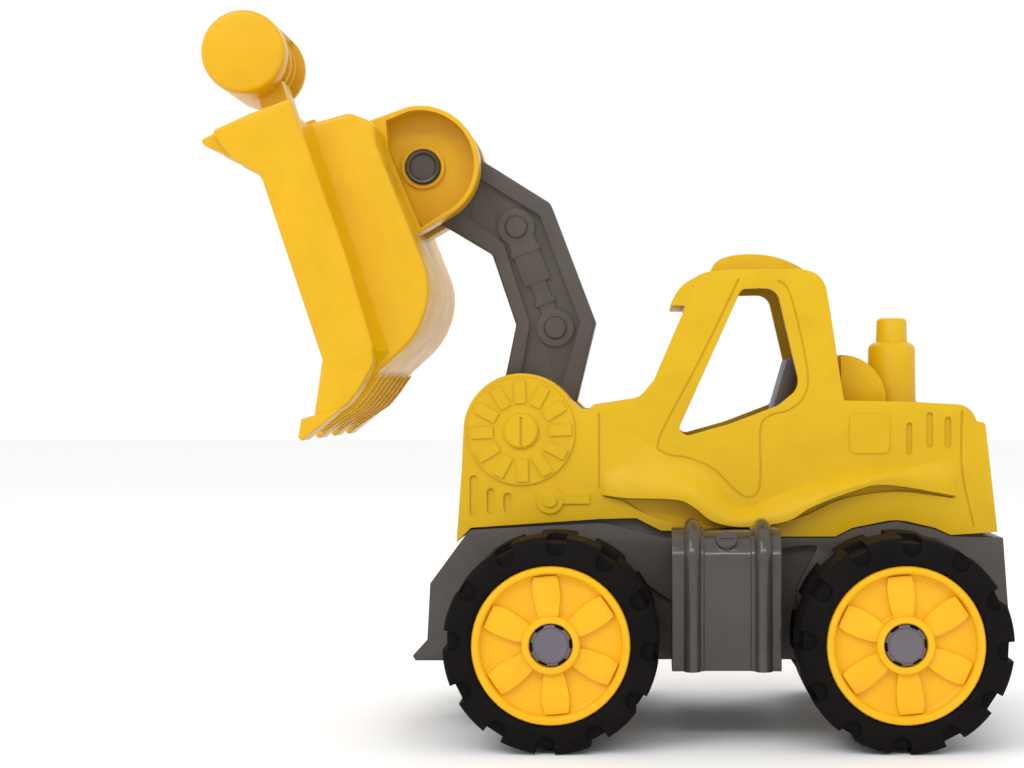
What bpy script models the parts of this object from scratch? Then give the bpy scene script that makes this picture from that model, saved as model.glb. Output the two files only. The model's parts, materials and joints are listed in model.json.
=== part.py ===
"""A toy wheel loader: yellow body, grey chassis, four free wheels, one boom and a toothed bucket.

The front, where the bucket is, points to -X, the toy's left side to -Y, and +Z is up. The origin is on
the ground under the middle of the box around the whole toy. Sizes are in millimetres, and MM turns them
into metres as they enter a mesh.
"""

import math

import bmesh
import bpy
from mathutils import Vector

MM = 0.001

# Driving dimensions
WHEEL_RADIUS = 35.0
WHEEL_INNER_Y = 31.5
WHEEL_OUTER_Y = 71.5
FRONT_AXLE_X = -15.7
REAR_AXLE_X = 98.5
RIM_RADIUS = 25.6
AXLE_RADIUS = 2.5
BODY_HALF_WIDTH = 28.0
CHASSIS_HALF_WIDTH = 27.5
WALL = 2.6
BOOM_HALF_WIDTH = 7.0
SLOT_HALF_WIDTH = 9.5
BOOM_PIVOT = (-27.8, 103.0)
BUCKET_PIVOT = (-63.4, 195.3)
HUB_RADIUS = 17.0
LOBE_RADIUS = 20.2
EAR_RADIUS = 20.8
EAR_INNER_Y = 8.0
EAR_OUTER_Y = 11.0
BUCKET_HALF_WIDTH = 58.0
BOWL_HALF_WIDTH = 46.0
TOOTH_WIDTH = 15.0
TOOTH_PITCH = 34.0
PIN_RADIUS = 4.4
PIN_CLEARANCE = 0.3
GRIP_CENTRE = (-124.3, 233.9)
GRIP_RADIUS = 14.5
GRIP_LENGTH = 45.0
STEP_OUTER_Y = 56.0
STEP_TUCK_Z = 66.5
FLARE_REACH = 6.0
FLARE_LIP = 2.2
CHEEK_RADIUS = 19.8
CHEEK_DISC_RADIUS = 18.2
BOSS_PLACE = (-18.0, 79.5)
BOSS_RADIUS = 4.5
BOOM_PIN_RADIUS = 4.0
BOOM_PIN_HEAD_RADIUS = 5.9
SCREW_RADIUS = 3.0
SCREW_SHANK_RADIUS = 1.6
SCREW_PLACES = [(-40.0, -18.0), (-40.0, 18.0), (120.0, -18.0), (120.0, 18.0)]
CYLINDER_BOSSES = [(-31.0, 174.6), (-17.2, 139.0)]
CYLINDER_BOSS_RADIUS = 6.5
BOOM_SCREW_RADIUS = 3.7
BOOM_SCREW_SHANK_RADIUS = 1.4
RECESS_DEPTH = 1.4
ROOT_DEPTH = 1.0  # how far a raised detail starts under the surface it stands on
THROUGH = 90.0  # half the length of a cutter that goes right through
GAP = 0.3
ROUND_STEPS = 28


# Materials

def plastic(name, colour, roughness):
    material = bpy.data.materials.new(name)
    material.use_nodes = True
    shader = material.node_tree.nodes["Principled BSDF"]
    shader.inputs["Base Color"].default_value = (*colour, 1.0)
    shader.inputs["Roughness"].default_value = roughness
    shader.inputs["Metallic"].default_value = 0.0
    material.diffuse_color = (*colour, 1.0)
    return material


# Outlines, as lists of (x, z) points

def arc(centre, radius, start_deg, end_deg, steps):
    points = []
    for step in range(steps + 1):
        angle = math.radians(start_deg + (end_deg - start_deg) * step / steps)
        points.append((centre[0] + radius * math.cos(angle), centre[1] + radius * math.sin(angle)))
    return points


def box_outline(x0, x1, z0, z1):
    return [(x0, z0), (x1, z0), (x1, z1), (x0, z1)]


def rounded(corners, steps=3):
    """The outline of (x, z) or (x, z, radius) corners, with an arc at each corner that has a radius."""
    outline = []
    count = len(corners)
    for index, corner in enumerate(corners):
        here = Vector(corner[:2])
        if len(corner) == 2:
            outline.append(tuple(here))
            continue
        back = (Vector(corners[index - 1][:2]) - here).normalized()
        ahead = (Vector(corners[(index + 1) % count][:2]) - here).normalized()
        half = math.acos(max(-1.0, min(1.0, back.dot(ahead)))) / 2
        reach = corner[2] / math.tan(half)
        centre = here + (back + ahead).normalized() * (corner[2] / math.sin(half))
        first = here + back * reach - centre
        last = here + ahead * reach - centre
        start = math.atan2(first.y, first.x)
        turn = (math.atan2(last.y, last.x) - start + math.pi) % (2 * math.pi) - math.pi
        outline += arc(centre, corner[2], math.degrees(start), math.degrees(start + turn), steps)
    return outline


# Closed meshes

def closed(mesh):
    bmesh.ops.recalc_face_normals(mesh, faces=mesh.faces)
    return mesh


def loft(near_outline, near_y, far_outline, far_y):
    """Two outlines of as many points, at two places along Y, and the sides between them."""
    mesh = bmesh.new()
    near = [mesh.verts.new((x * MM, near_y * MM, z * MM)) for x, z in near_outline]
    far = [mesh.verts.new((x * MM, far_y * MM, z * MM)) for x, z in far_outline]
    mesh.faces.new(near)
    mesh.faces.new(reversed(far))
    for index in range(len(near)):
        after = (index + 1) % len(near)
        mesh.faces.new((near[index], far[index], far[after], near[after]))
    if near_outline != far_outline:
        bmesh.ops.triangulate(mesh, faces=mesh.faces)
    return closed(mesh)


def prism(outline, y0, y1):
    return loft(outline, y0, outline, y1)


def turned(profile, centre, axis="Y", steps=ROUND_STEPS, ring=False):
    """A (radius, along) profile turned about an axis through centre, which is (x, z), or (x, y) for axis Z.

    A profile starts and ends at radius 0. With ring=True it is a loop that stays clear of the axis."""
    mesh = bmesh.new()
    rows = []
    for radius, along in profile:
        row = []
        for step in range(steps if radius else 1):
            angle = 2 * math.pi * step / steps
            across = centre[0] + radius * math.cos(angle)
            other = centre[1] + radius * math.sin(angle)
            place = (across, along, other) if axis == "Y" else (across, other, along)
            row.append(mesh.verts.new(Vector(place) * MM))
        rows.append(row)
    pairs = list(zip(rows, rows[1:]))
    if ring:
        pairs.append((rows[-1], rows[0]))
    for low, high in pairs:
        for step in range(steps):
            after = (step + 1) % steps
            corners = [low[step % len(low)], low[after % len(low)]]
            corners += [high[after % len(high)], high[step % len(high)]]
            mesh.faces.new(list(dict.fromkeys(corners)))
    return closed(mesh)


def disc(centre, radius, low, high, axis="Y", steps=ROUND_STEPS):
    return turned([(0, low), (radius, low), (radius, high), (0, high)], centre, axis, steps)


def together(*meshes):
    """Several separate closed meshes as one, for a cutter that cuts in many places."""
    whole = bmesh.new()
    for mesh in meshes:
        carrier = bpy.data.meshes.new("carrier")
        mesh.to_mesh(carrier)
        mesh.free()
        whole.from_mesh(carrier)
        bpy.data.meshes.remove(carrier)
    return whole


# Objects

def made(name, mesh):
    data = bpy.data.meshes.new(name)
    mesh.to_mesh(data)
    mesh.free()
    thing = bpy.data.objects.new(name, data)
    bpy.context.scene.collection.objects.link(thing)
    return thing


def piece(name, mesh, material, pivot=None):
    """A sub-part. With a pivot empty it hangs from it and has its own origin there."""
    thing = made(name, mesh)
    thing.data.materials.append(material)
    thing.data.shade_smooth()
    thing.data.set_sharp_from_angle(angle=math.radians(30))
    if pivot:
        for vertex in thing.data.vertices:
            vertex.co -= pivot.location
        thing.parent = pivot
    return thing


def boolean(thing, mesh, operation):
    tool = made(f"{thing.name}_tool_{len(thing.modifiers)}", mesh)
    tool.hide_render = True
    tool.display_type = "WIRE"
    modifier = thing.modifiers.new(operation.lower(), "BOOLEAN")
    modifier.object = tool
    modifier.operation = operation
    modifier.solver = "EXACT"


def cut(thing, *meshes):
    for mesh in meshes:
        boolean(thing, mesh, "DIFFERENCE")


def join(thing, *meshes):
    for mesh in meshes:
        boolean(thing, mesh, "UNION")


def pivot_empty(name, place):
    """An empty on a joint's axis, at an (x, z) place in the middle of the toy."""
    empty = bpy.data.objects.new(name, None)
    empty.location = (place[0] * MM, 0, place[1] * MM)
    bpy.context.scene.collection.objects.link(empty)
    return empty


# Body shell

def cheek_outline(radius, left, bottom):
    """The front of the body: straight up from the bottom, then round the boom's pivot."""
    front = [(left, bottom), (BOOM_PIVOT[0] - radius, BOOM_PIVOT[1])]
    return front + arc(BOOM_PIVOT, radius, 175, 35, 12)


def body_outline():
    nose = [(-50.0, 65.0), (-49.5, 71.5)] + cheek_outline(CHEEK_RADIUS, -48.2, 89.5)
    hood = [(-7.5, 110.5), (-4.5, 110.5), (-3.5, 112.0), (6.0, 113.5), (12.5, 114.5, 7)]
    hood += [(17.5, 120.5, 4)]
    visor = [(28.5, 146.0), (23.0, 146.0), (24.0, 149.5, 3), (28.5, 155.0, 5), (36.5, 157.2)]
    visor += [(40.0, 158.5)]
    roof = [(67.5, 158.5), (76.0, 156.5, 5), (77.5, 146.0)]
    rear = [(82.5, 113.5), (107.5, 113.0), (125.5, 112.0, 7), (128.0, 106.4), (130.8, 106.0, 1.5)]
    rear += [(135.0, 68.6)]
    rear_arch = [(119.0, 67.5), (113.5, 70.0), (100.5, 73.0, 20), (85.5, 70.0), (79.5, 67.0)]
    rear_arch += [(60.5, 67.0)]
    middle = [(52.0, 70.5), (24.5, 69.0), (20.0, 69.0), (11.5, 73.3), (-1.0, 73.0), (-45.0, 70.0)]
    return rounded(nose + hood + visor + roof + rear + rear_arch + middle)


def hollow_outline():
    """The space inside the shell, one wall in from body_outline and open at the bottom."""
    nose = [(-47.2, 60.0), (-46.9, 71.5)] + cheek_outline(CHEEK_RADIUS - WALL, -45.6, 89.5)
    hood = [(-8.0, 107.5), (-3.0, 108.5), (6.5, 110.7), (14.5, 112.0, 6), (20.5, 120.0)]
    cab = [(33.0, 150.0, 3), (40.0, 155.5), (67.0, 155.5), (73.5, 153.5, 3), (74.8, 146.0)]
    rear = [(80.2, 110.9), (107.5, 110.4), (123.0, 109.2, 4), (126.0, 103.6), (128.6, 103.4)]
    rear += [(132.2, 60.0)]
    return rounded(nose + hood + cab + rear)


def window_outline():
    corners = [(47.5, 151.8, 3), (59.5, 152.0, 5), (65.0, 128.5), (67.5, 118.0, 6), (60.0, 111.8, 4)]
    return rounded(corners + [(43.5, 105.5), (28.5, 101.3, 3), (26.0, 104.0, 2)])


def flare(side, ridge, lip):
    """A fender flare: it grows out of the side along the ridge and ends in a thin lip further out."""
    inner = ridge + lip[::-1]
    outer = [(x, z + FLARE_LIP) for x, z in lip] + lip[::-1]
    low = side * (BODY_HALF_WIDTH - ROOT_DEPTH)
    return loft(inner, low, outer, side * (BODY_HALF_WIDTH + FLARE_REACH))


def slot_run(side, slots):
    """Upright round-ended grooves in a side, as (x, low z, high z, width)."""
    depth = 0.8
    floor = side * (BODY_HALF_WIDTH - depth)
    grooves = []
    for x, low, high, width in slots:
        half = width / 2
        ends = arc((x, high - half), half, 0, 180, 4) + arc((x, low + half), half, 180, 360, 4)
        grooves.append(prism(ends, floor, side * THROUGH))
    return together(*grooves)


def add_side_details(body, side):
    """The flares, the disc round the boom's pivot, a boss, and the vent grooves of one side."""
    front_ridge = [(0.0, 89.5), (19.0, 92.6), (30.0, 91.0), (37.5, 86.5), (42.5, 81.0), (46.0, 76.0)]
    front_lip = [(-0.5, 81.0), (8.5, 80.0), (25.0, 79.5), (31.0, 77.0), (36.0, 73.0), (40.0, 71.6)]
    rear_ridge = [(49.8, 76.4), (63.0, 82.5), (80.0, 88.0), (96.5, 91.0), (110.0, 91.3), (120.5, 91.0)]
    rear_lip = [(58.5, 71.3), (64.5, 73.0), (71.0, 77.0), (84.0, 82.0), (96.5, 84.5), (121.0, 80.5)]
    front_vents = [(-44.0, 73.8, 88.0, 3.0), (-38.2, 74.6, 83.6, 2.8), (-32.5, 75.2, 82.0, 2.8)]
    rear_vents = [(104.8, 95.0, 106.0, 2.0), (111.8, 97.4, 109.6, 2.2), (118.0, 97.4, 108.0, 2.2)]
    root = side * (BODY_HALF_WIDTH - ROOT_DEPTH)
    join(body, flare(side, front_ridge, front_lip), flare(side, rear_ridge, rear_lip))
    join(body, disc(BOOM_PIVOT, CHEEK_DISC_RADIUS, root, side * (BODY_HALF_WIDTH + 0.8)))
    join(body, disc(BOSS_PLACE, BOSS_RADIUS, root, side * (BODY_HALF_WIDTH + 1.2), steps=20))
    cut(body, slot_run(side, front_vents + rear_vents))


def build_body(yellow):
    body = piece("body_shell", prism(body_outline(), -BODY_HALF_WIDTH, BODY_HALF_WIDTH), yellow)
    inside = BODY_HALF_WIDTH - WALL
    cut(body, prism(hollow_outline(), -inside, inside))
    bay_back = [(-48.2, 78.0), (4.1, 78.0), (4.1, 111.0), (-8.0, 109.5)]
    boom_bay = cheek_outline(19.2, -47.8, 89.5)[::-1] + bay_back
    join(body, prism(boom_bay, -(SLOT_HALF_WIDTH + WALL), SLOT_HALF_WIDTH + WALL))
    cut(body, prism(box_outline(-60.0, 1.5, 80.5, 130.0), -SLOT_HALF_WIDTH, SLOT_HALF_WIDTH))
    cut(body, prism(window_outline(), -THROUGH, THROUGH))
    windscreen = [(12.0, 121.5), (35.0, 121.5), (42.0, 145.0), (20.0, 145.0)]
    windscreen_half_width = 21.0
    cut(body, prism(windscreen, -windscreen_half_width, windscreen_half_width))
    bump = [(37.5, 157.0), (39.5, 162.3, 3), (51.0, 164.0, 20), (61.0, 162.3, 3), (66.5, 157.0)]
    bump_half_width = 19.0
    join(body, prism(rounded(bump), -bump_half_width, bump_half_width))
    for side in (-1, 1):
        add_side_details(body, side)
    cut(body, disc(BOOM_PIVOT, BOOM_PIN_RADIUS + PIN_CLEARANCE, -THROUGH, THROUGH, steps=16))


# Chassis and what stands on it

def build_chassis(grey):
    low = [(-47.6, 66.5), (-59.0, 51.0), (-60.0, 31.5), (-65.0, 26.2), (-64.0, 24.6), (126.0, 24.6)]
    low += [(131.0, 27.0), (138.2, 36.5), (138.8, 41.5), (137.0, 66.5)]
    chassis = piece("chassis_frame", prism(low, -CHASSIS_HALF_WIDTH, CHASSIS_HALF_WIDTH), grey)
    upstand_half_width = 25.0
    tub_half_width = 22.0
    join(chassis, prism(box_outline(-44.0, 130.5, 60.0, 76.0), -upstand_half_width, upstand_half_width))
    cut(chassis, prism(box_outline(-41.0, 127.5, 28.0, 90.0), -tub_half_width, tub_half_width))
    for x in (FRONT_AXLE_X, REAR_AXLE_X):
        bore = disc((x, WHEEL_RADIUS), AXLE_RADIUS + PIN_CLEARANCE, -THROUGH, THROUGH, steps=16)
        cut(chassis, bore)
    for place in SCREW_PLACES:
        cut(chassis, disc(place, SCREW_RADIUS + GAP, 20.0, 26.6, axis="Z", steps=12))
        cut(chassis, disc(place, SCREW_SHANK_RADIUS + GAP, 20.0, 40.0, axis="Z", steps=12))


def build_chassis_screws(steel):
    shape = [(0, 25.2), (SCREW_RADIUS, 25.2), (SCREW_RADIUS, 26.3), (SCREW_SHANK_RADIUS, 26.3)]
    shape += [(SCREW_SHANK_RADIUS, 34.0), (0, 34.0)]
    for index, place in enumerate(SCREW_PLACES):
        piece(f"chassis_screw_{index + 1}", turned(shape, place, "Z", steps=12), steel)


def build_seat(grey):
    side = [(29.0, 96.0), (55.0, 96.0), (58.0, 98.0), (65.5, 126.5), (64.0, 129.0), (61.5, 127.5)]
    side += [(54.0, 101.5), (50.0, 100.5), (31.0, 100.5), (29.0, 99.0)]
    seat_half_width = 15.0
    post_half_width = 8.0
    seat = piece("driver_seat", prism(side, -seat_half_width, seat_half_width), grey)
    join(seat, prism(box_outline(36.0, 52.0, 28.3, 98.0), -post_half_width, post_half_width))


def build_side_step(name, side, grey):
    inner = side * (CHASSIS_HALF_WIDTH + GAP)
    middle = side * (STEP_OUTER_Y - 3.0)
    outer = side * STEP_OUTER_Y
    step = piece(name, prism(box_outline(32.0, 53.0, 24.6, 71.0), inner, middle), grey)
    for x0, x1 in ((23.0, 34.0), (49.0, 60.0)):
        column = [(x0, 24.4), (x1, 24.4), (x1 - 0.8, 71.0), (x0 + 0.8, 71.0)]
        join(step, prism(column, inner, middle + side))
    for x0, x1 in ((27.0, 32.8), (50.6, 57.0)):
        join(step, prism(box_outline(x0, x1, 24.2, 74.6), inner, outer))
    tucked = side * (BODY_HALF_WIDTH + FLARE_REACH + 2.0)
    cut(step, prism(box_outline(20.0, 63.0, STEP_TUCK_Z, 78.0), 0, tucked))


def build_rear_deck(yellow):
    deck = 113.4
    foot = deck + GAP
    stack = [(0, foot), (8.5, foot), (8.5, 132.0), (7.2, 133.6), (5.4, 134.4), (5.4, 141.6)]
    stack += [(4.6, 142.6), (0, 142.6)]
    piece("exhaust_stack", turned(stack, (102.1, 0.0), "Z"), yellow)
    drum_foot = foot + 0.2
    drum_back = 93.3
    drum_half_width = 14.0
    crown = arc((82.8, 113.6), 15.0, 48, 92, 6)[:-1]
    outline = [(83.0, drum_foot), (drum_back, drum_foot)] + [(min(x, drum_back), z) for x, z in crown]
    outline += [(82.3, 128.4), (81.7, 122.5)]
    piece("air_filter_drum", prism(outline, -drum_half_width, drum_half_width), yellow)


def build_axles(steel):
    for name, x in (("front_axle", FRONT_AXLE_X), ("rear_axle", REAR_AXLE_X)):
        piece(name, disc((x, WHEEL_RADIUS), AXLE_RADIUS, -64.0, 64.0, steps=16), steel)


# Boom

def boom_outline():
    """Two straight legs and a bend, between the hub at the body and the lobe at the bucket."""
    back = [(-9.5, 114.0), (-3.0, 141.0), (-19.0, 183.0), (-43.0, 198.0)]
    front = [(-54.5, 174.0), (-39.5, 165.0), (-31.0, 140.0), (-34.5, 123.0)]
    lobe = arc(BUCKET_PIVOT, LOBE_RADIUS, 20, 285, 18)
    hub = arc(BOOM_PIVOT, HUB_RADIUS, 120, 380, 16)
    return back + lobe + front + hub


def boom_recess_outline():
    """The sunk panel between the flanges, from the lobe to the hub."""
    back = [(-14.6, 120.0), (-8.2, 141.0), (-22.2, 178.4), (-41.0, 190.0)]
    front = [(-47.0, 176.5), (-36.0, 168.5), (-26.6, 140.5), (-29.4, 122.0)]
    return back + front


def add_cylinder(shell, side, face):
    """The relief of a hydraulic cylinder: a thick barrel and a thin rod between two bosses."""
    upper, lower = (Vector(boss) for boss in CYLINDER_BOSSES)
    along = (lower - upper).normalized()
    across = Vector((along.y, -along.x))
    barrel_end = upper + along * 22.0
    floor = face - side * 2.0
    for start, end, half in ((upper, barrel_end, 4.6), (barrel_end, lower, 2.8)):
        low_side = across * -half
        high_side = across * half
        corners = [start + low_side, end + low_side, end + high_side, start + high_side]
        join(shell, prism([tuple(corner) for corner in corners], floor, face - side * 0.7))
    for boss in CYLINDER_BOSSES:
        join(shell, disc(boss, CYLINDER_BOSS_RADIUS, floor, face - side * 0.3, steps=16))


def build_boom(grey, steel, pivot):
    head_room = BOOM_SCREW_RADIUS + GAP
    shank_room = BOOM_SCREW_SHANK_RADIUS + GAP
    screw_room = [(0, -20), (head_room, -20), (head_room, -5.3), (shank_room, -5.3), (shank_room, 4.6)]
    screw_room += [(0, 4.6)]
    for name, side in (("boom_left_shell", -1), ("boom_right_shell", 1)):
        face = side * BOOM_HALF_WIDTH
        shell = piece(name, prism(boom_outline(), side * GAP / 2, face), grey, pivot)
        cut(shell, prism(boom_recess_outline(), face - side * RECESS_DEPTH, face + side * 2))
        add_cylinder(shell, side, face)
        for centre, radius in ((BOOM_PIVOT, BOOM_PIN_RADIUS), (BUCKET_PIVOT, PIN_RADIUS)):
            cut(shell, disc(centre, radius + PIN_CLEARANCE, -THROUGH, THROUGH, steps=16))
        for boss in CYLINDER_BOSSES:
            cut(shell, turned(screw_room, boss, steps=20))
    shape = [(0, -7.0), (BOOM_SCREW_RADIUS, -7.0), (BOOM_SCREW_RADIUS, -5.6)]
    shape += [(BOOM_SCREW_SHANK_RADIUS, -5.6), (BOOM_SCREW_SHANK_RADIUS, 4.0), (0, 4.0)]
    for index, boss in enumerate(CYLINDER_BOSSES):
        piece(f"boom_screw_{index + 1}", turned(shape, boss, steps=20), steel, pivot)


def build_boom_pin(yellow):
    end = 30.0
    head = 29.1
    half = [(0, end), (BOOM_PIN_HEAD_RADIUS, end), (BOOM_PIN_HEAD_RADIUS, head), (BOOM_PIN_RADIUS, head)]
    profile = [(radius, -along) for radius, along in half] + half[::-1]
    piece("boom_pivot_pin", turned(profile, BOOM_PIVOT, steps=16), yellow)


# Bucket

def frame_outline():
    """The side of the mouth frame, from its top lip to its bottom lip."""
    top = [(-122.0, 193.0), (-125.0, 202.6), (-115.0, 208.0), (-101.5, 212.5)]
    back = [(-83.5, 162.0), (-74.5, 132.0), (-74.3, 125.5), (-79.0, 117.0), (-82.5, 112.5)]
    bottom = [(-96.5, 103.5), (-93.5, 109.5), (-91.0, 127.0), (-111.0, 187.0)]
    return top + back + bottom


def bowl_outline():
    """The side of the bowl behind the frame, with its round back."""
    top = [(-102.0, 204.5), (-84.0, 209.5, 3), (-76.0, 206.5, 5), (-75.0, 198.5)]
    back = [(-62.5, 167.5), (-56.8, 153.5, 9), (-58.8, 141.0, 9), (-64.0, 132.5), (-75.0, 122.5)]
    mouth = [(-84.0, 113.5), (-92.0, 112.0), (-91.0, 127.0), (-111.0, 187.0)]
    return rounded(top + back + mouth)


def bowl_hollow():
    top = [(-104.0, 201.5), (-85.5, 206.3, 3), (-79.2, 204.3, 3), (-77.9, 197.5)]
    back = [(-65.4, 166.5), (-60.0, 153.3, 8), (-61.8, 142.4, 8), (-66.3, 134.6), (-77.0, 124.9)]
    return rounded(top + back + [(-88.0, 115.5), (-108.0, 120.0), (-128.0, 185.0)])


def frame_hollow():
    top = [(-130.0, 190.0), (-113.0, 200.5), (-104.4, 204.0)]
    back = [(-87.3, 160.0), (-78.5, 131.0), (-79.0, 124.0), (-92.5, 110.5), (-108.0, 120.0)]
    return top + back


def tooth_rows():
    """(outline, y) of the teeth: four on the top lip and four on the bottom lip."""
    top_tooth = [(-121.0, 192.6), (-131.3, 199.2), (-131.8, 200.6), (-127.5, 202.6), (-117.0, 207.4)]
    bottom_tooth = [(-93.0, 109.0), (-97.8, 107.6), (-98.8, 101.4), (-97.6, 100.4), (-84.0, 111.6)]
    half_run = TOOTH_PITCH * 1.5
    for row in (top_tooth, bottom_tooth):
        for index in range(4):
            yield row, index * TOOTH_PITCH - half_run


def build_bucket(yellow, pivot):
    half = BUCKET_HALF_WIDTH
    bowl = BOWL_HALF_WIDTH
    bucket = piece("bucket_shell", prism(frame_outline(), -half, half), yellow, pivot)
    join(bucket, prism(bowl_outline(), -bowl, bowl))
    frame_wall = 4.0
    cut(bucket, prism(frame_hollow(), frame_wall - half, half - frame_wall))
    cut(bucket, prism(bowl_hollow(), WALL - bowl, bowl - WALL))
    pocket = EAR_OUTER_Y + 0.6
    pocket_wall = arc(BUCKET_PIVOT, LOBE_RADIUS + WALL, 152, 246, 8)
    join(bucket, prism(pocket_wall, -pocket, pocket))
    top_web = [(-91.0, 206.0), (-84.4, 208.4), (-78.5, 206.6), (-77.0, 196.0), (-86.5, 198.0)]
    join(bucket, prism(top_web, -pocket, pocket))
    cut(bucket, disc(BUCKET_PIVOT, LOBE_RADIUS + 0.8, -EAR_INNER_Y, EAR_INNER_Y, steps=40))
    boom_room = [(-82.4, 203.1), (-96.4, 230.7), (-71.7, 242.6), (-66.9, 212.0)]
    cut(bucket, prism(boom_room, -EAR_INNER_Y, EAR_INNER_Y))
    ear = arc(BUCKET_PIVOT, EAR_RADIUS, -75, 105, 14) + [(-82.5, 204.5), (-74.5, 172.0)]
    for side in (-1, 1):
        join(bucket, prism(ear, side * EAR_INNER_Y, side * EAR_OUTER_Y))
    for outline, y in tooth_rows():
        join(bucket, prism(outline, y - TOOTH_WIDTH / 2, y + TOOTH_WIDTH / 2))
    dish_radius = EAR_RADIUS - 1.4
    dish_floor = EAR_OUTER_Y - 0.8
    for side in (-1, 1):
        cut(bucket, disc(BUCKET_PIVOT, dish_radius, side * dish_floor, side * 20))
    cut(bucket, disc(BUCKET_PIVOT, PIN_RADIUS + PIN_CLEARANCE, -THROUGH, THROUGH, steps=16))


def build_grip(yellow, pivot):
    half = GRIP_LENGTH / 2
    lip = 1.5
    knob = [(0, -half), (GRIP_RADIUS - lip, -half), (GRIP_RADIUS, -half + lip)]
    knob += [(radius, -along) for radius, along in reversed(knob)]
    grip = piece("bucket_grip", turned(knob, GRIP_CENTRE), yellow, pivot)
    pocket = box_outline(-117.5, -105.0, 227.2, 240.6)
    for y0, y1 in ((-19.0, -2.0), (2.0, 19.0)):
        cut(grip, prism(pocket, y0, y1))
    stem = [(-122.5, 227.6), (-118.2, 209.6), (-109.2, 212.8), (-112.0, 227.6)]
    stem_half_width = 8.25
    join(grip, prism(stem, -stem_half_width, stem_half_width))


def build_bucket_pin(grey, pivot):
    end = EAR_OUTER_Y + 0.9
    head = [(0, -end), (PIN_RADIUS, -end), (PIN_RADIUS, end), (0, end)]
    piece("bucket_pivot_pin", turned(head, BUCKET_PIVOT, steps=16), grey, pivot)


# Wheels

def tread_outline(centre, phase_deg):
    """A circle with twelve notches across the tread."""
    notches = 12
    depth = 2.2
    notch_deg = 10.0
    slope_deg = 0.6
    pitch_deg = 360 / notches
    points = []
    for index in range(notches):
        start = phase_deg + index * pitch_deg
        points += arc(centre, WHEEL_RADIUS - depth, start, start + notch_deg, 1)
        block_end = start + pitch_deg - slope_deg
        points += arc(centre, WHEEL_RADIUS, start + notch_deg + slope_deg, block_end, 2)
    return points


def build_tyre(name, centre, side, black, pivot):
    inner = side * WHEEL_INNER_Y
    outer = side * WHEEL_OUTER_Y
    middle = (inner + outer) / 2
    outer_half = prism(tread_outline(centre, -80.0), middle - side * 0.5, outer)
    tyre = piece(f"{name}_tyre", outer_half, black, pivot)
    join(tyre, prism(tread_outline(centre, -65.0), inner, middle))
    cut(tyre, disc(centre, RIM_RADIUS + GAP, -THROUGH, THROUGH))


def build_rim(name, centre, side, yellow, pivot):
    """A dish with six spokes that rise out of its floor, round a raised hub."""
    back = WHEEL_INNER_Y + 1.0
    face = WHEEL_OUTER_Y - 1.0
    bore = AXLE_RADIUS + 0.4
    hub_hole = 6.6
    profile = [(bore, back), (RIM_RADIUS, back), (RIM_RADIUS, face), (23.2, face), (22.4, face - 3.0)]
    profile += [(9.4, face - 3.5), (9.4, face - 0.4), (hub_hole, face - 0.4)]
    profile += [(hub_hole, face - 4.0), (bore, face - 4.0)]
    mesh = turned([(radius, side * along) for radius, along in profile], centre, ring=True)
    rim = piece(f"{name}_rim", mesh, yellow, pivot)
    hub = Vector(centre)
    spoke = [(8.8, -3.4), (22.9, -4.6), (22.9, 4.6), (8.8, 3.4)]
    for index in range(6):
        angle = math.radians(35 + 60 * index)
        outward = Vector((math.cos(angle), math.sin(angle)))
        across = Vector((-outward.y, outward.x))
        outline = [tuple(hub + outward * reach + across * sway) for reach, sway in spoke]
        join(rim, prism(outline, side * (face - 5.0), side * (face - 1.4)))


def build_hub_cap(name, centre, side, grey, pivot):
    low = side * (WHEEL_OUTER_Y - 4.6)
    high = side * (WHEEL_OUTER_Y - 1.8)
    piece(f"{name}_hub_cap", disc(centre, 6.0, low, high, steps=16), grey, pivot)


def main():
    for thing in list(bpy.data.objects):
        bpy.data.objects.remove(thing)
    yellow = plastic("yellow_plastic", (0.80, 0.50, 0.03), 0.45)
    rim_yellow = plastic("rim_plastic", (0.90, 0.45, 0.02), 0.40)
    grey = plastic("grey_plastic", (0.11, 0.09, 0.08), 0.45)
    black = plastic("tyre_plastic", (0.02, 0.018, 0.018), 0.6)
    cap_grey = plastic("cap_plastic", (0.18, 0.16, 0.19), 0.35)
    steel = plastic("steel", (0.5, 0.5, 0.52), 0.3)

    build_body(yellow)
    build_chassis(grey)
    build_chassis_screws(steel)
    build_seat(grey)
    build_side_step("side_step_left", -1, grey)
    build_side_step("side_step_right", 1, grey)
    build_rear_deck(yellow)
    build_axles(steel)
    build_boom_pin(yellow)
    boom_pivot = pivot_empty("boom_pivot", BOOM_PIVOT)
    bucket_pivot = pivot_empty("bucket_pivot", BUCKET_PIVOT)
    build_boom(grey, steel, boom_pivot)
    build_bucket_pin(grey, bucket_pivot)
    build_bucket(yellow, bucket_pivot)
    build_grip(yellow, bucket_pivot)
    for end, x in (("front", FRONT_AXLE_X), ("rear", REAR_AXLE_X)):
        for hand, side in (("left", -1), ("right", 1)):
            name = f"{end}_{hand}"
            centre = (x, WHEEL_RADIUS)
            wheel_pivot = pivot_empty(f"{name}_wheel", centre)
            build_tyre(name, centre, side, black, wheel_pivot)
            build_rim(name, centre, side, rim_yellow, wheel_pivot)
            build_hub_cap(name, centre, side, cap_grey, wheel_pivot)


main()
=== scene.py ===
"""Looks of the toy wheel loader: moulded shells, wheels, bucket and their plastics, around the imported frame.

Lengths are in millimetres in the frame's own axes: the bucket points to -X, +Z is up, and the toy's left,
which the camera sees, is -Y. MM turns them into metres as they enter a mesh.
"""

import json
import math

import bmesh
import bpy
from mathutils import Matrix, Vector


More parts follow.
